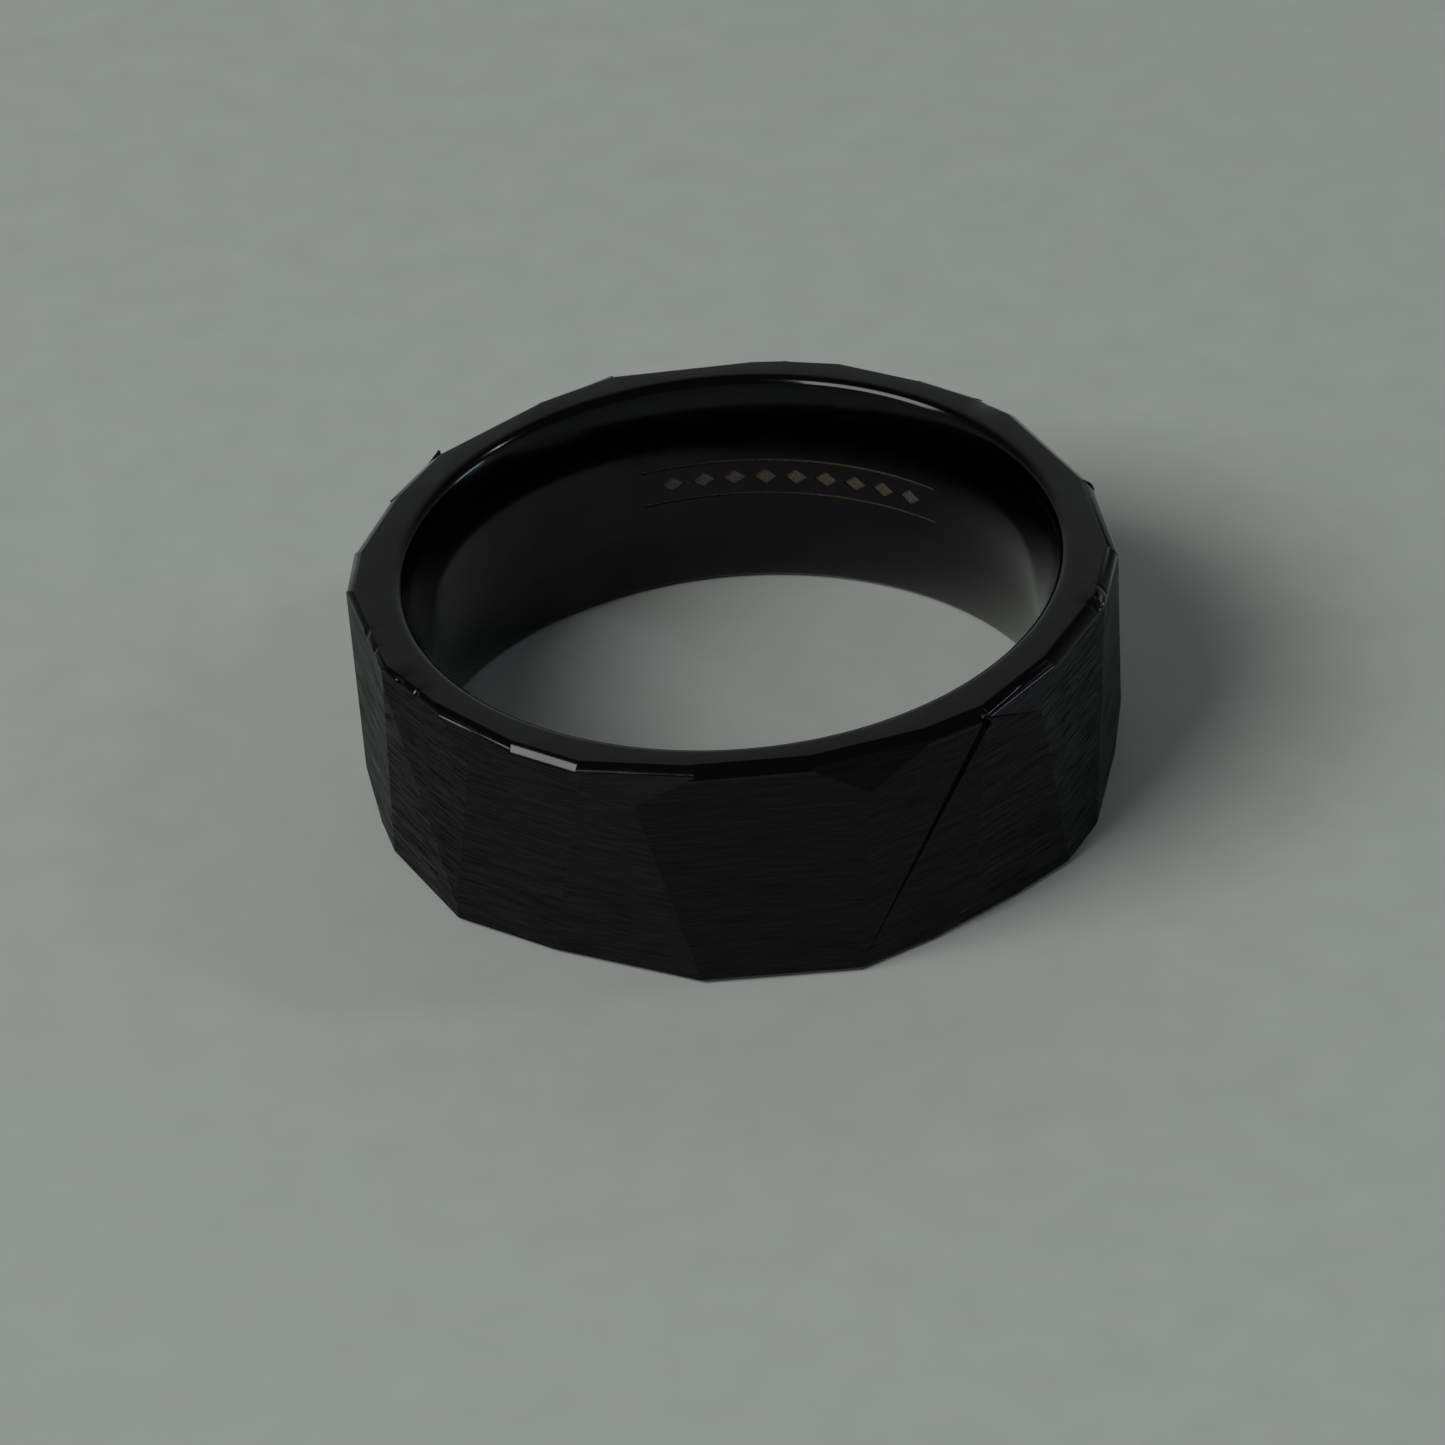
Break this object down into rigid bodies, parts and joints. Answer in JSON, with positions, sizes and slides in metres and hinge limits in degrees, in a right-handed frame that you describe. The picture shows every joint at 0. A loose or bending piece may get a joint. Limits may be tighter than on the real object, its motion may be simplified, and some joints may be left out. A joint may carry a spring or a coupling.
{
  "type": "wedding band",
  "caption": "Faceted black wedding band with brushed flats, polished rims and a domed comfort-fit bore.",
  "frame": {"origin": "on the finger axis, half way between the two rims", "axes": "+Z along the finger axis, up when the band lies on its lower rim; -Y faces the viewer, +X to the viewer's right"},
  "size_m": [0.0245, 0.024, 0.008],
  "materials": {
    "carbide": "sintered tungsten carbide, laser-burnt matt where it shows",
    "plating": "black ion plating, satin brushed on the flats, polished on the rims and in the bore"
  },
  "bodies": {
    "root": {"carbide_band": "carbide", "black_plating": "plating"}
  },
  "joints": []
}
